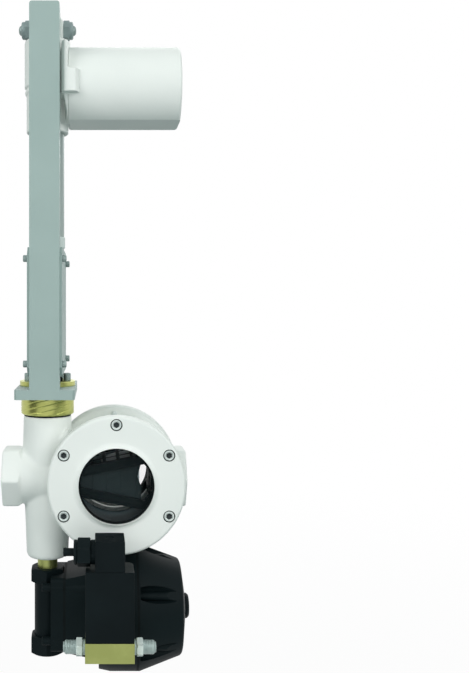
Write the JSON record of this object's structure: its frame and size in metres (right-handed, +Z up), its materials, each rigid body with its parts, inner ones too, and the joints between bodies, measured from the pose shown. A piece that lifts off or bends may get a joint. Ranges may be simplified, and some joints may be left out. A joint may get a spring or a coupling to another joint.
{
  "type": "self cleaning filter",
  "caption": "Inline self cleaning pipe filter: cast body with sight glasses over a wedge-shaped sieve, a motor-driven cleaning spool on a tall yoke, and a pilot-operated diaphragm drain valve.",
  "frame": {"origin": "centre of the inlet socket's mouth, on the pipe axis", "axes": "+X along the pipe from the inlet to the outlet, +Z up along the drive, -Y towards the front sight glass"},
  "size_m": [0.184, 0.17, 0.6443],
  "materials": {
    "cast_white": "satin white paint",
    "white_plastic": "satin white",
    "yoke_grey": "satin grey paint",
    "tube_grey": "satin",
    "brass": "machined",
    "steel": "machined",
    "nickel": "satin nickel",
    "black_plastic": "satin black",
    "rubber": "matt",
    "glass": "clear"
  },
  "bodies": {
    "root": {"filter_body": "cast_white", "front_flange": "cast_white", "rear_flange": "cast_white", "front_glass": "glass", "rear_glass": "glass", "glass_gaskets": "rubber", "flange_screws": "steel", "chamber_liner": "black_plastic", "sieve_cage": "black_plastic", "sieve_screen": "steel", "head_gasket": "rubber", "brass_head": "brass", "clamp_ring": "brass", "clamp_screws": "steel", "rod_wiper": "rubber", "drive_yoke": "yoke_grey", "head_block": "yoke_grey", "cross_bolt": "steel", "cross_bolt_nuts": "steel", "gear_housing": "cast_white", "motor_drum": "cast_white", "guide_tube": "tube_grey", "guide_cap": "white_plastic", "left_guard": "yoke_grey", "right_guard": "yoke_grey", "guard_screws": "steel", "drain_nipple": "brass", "upper_union_nut": "black_plastic", "lower_union_nut": "black_plastic", "valve_body": "black_plastic", "tie_bolts": "black_plastic", "flow_diaphragm": "rubber", "spacer_body": "black_plastic", "actuator_base": "black_plastic", "control_diaphragm": "rubber", "bonnet": "black_plastic", "actuator_screws": "steel", "return_spring": "steel", "indicator_cap": "black_plastic", "pilot_nipple": "brass", "pilot_block": "brass", "solenoid_coil": "black_plastic", "core_tube": "steel", "coil_plug": "black_plastic", "plug_screw": "steel", "gland_nut": "black_plastic", "gland_pin": "black_plastic", "tube_fittings": "nickel", "fitting_nuts": "white_plastic", "fitting_collets": "nickel"},
    "lift": {"push_rod": "steel", "rod_bush": "black_plastic", "rod_coupling": "white_plastic", "coupling_pins": "steel", "spindle": "steel", "spool": "brass", "spool_seals": "rubber"},
    "stem": {"valve_stem": "steel"},
    "armature": {"armature": "steel"}
  },
  "joints": [
    {"name": "spool_lift", "type": "slide", "parent": "root", "child": "lift", "axis": [0, 0, 1], "range_m": [-0.036, 0]},
    {"name": "valve_lift", "type": "slide", "parent": "root", "child": "stem", "axis": [1, 0, 0], "range_m": [0, 0.008], "stiffness_N_per_m": 2000, "springref_m": -0.01, "deforming": ["return_spring", "control_diaphragm", "flow_diaphragm"]},
    {"name": "armature_lift", "type": "slide", "parent": "root", "child": "armature", "axis": [0, 0, 1], "range_m": [0, 0.0015], "stiffness_N_per_m": 400, "springref_m": -0.004}
  ]
}
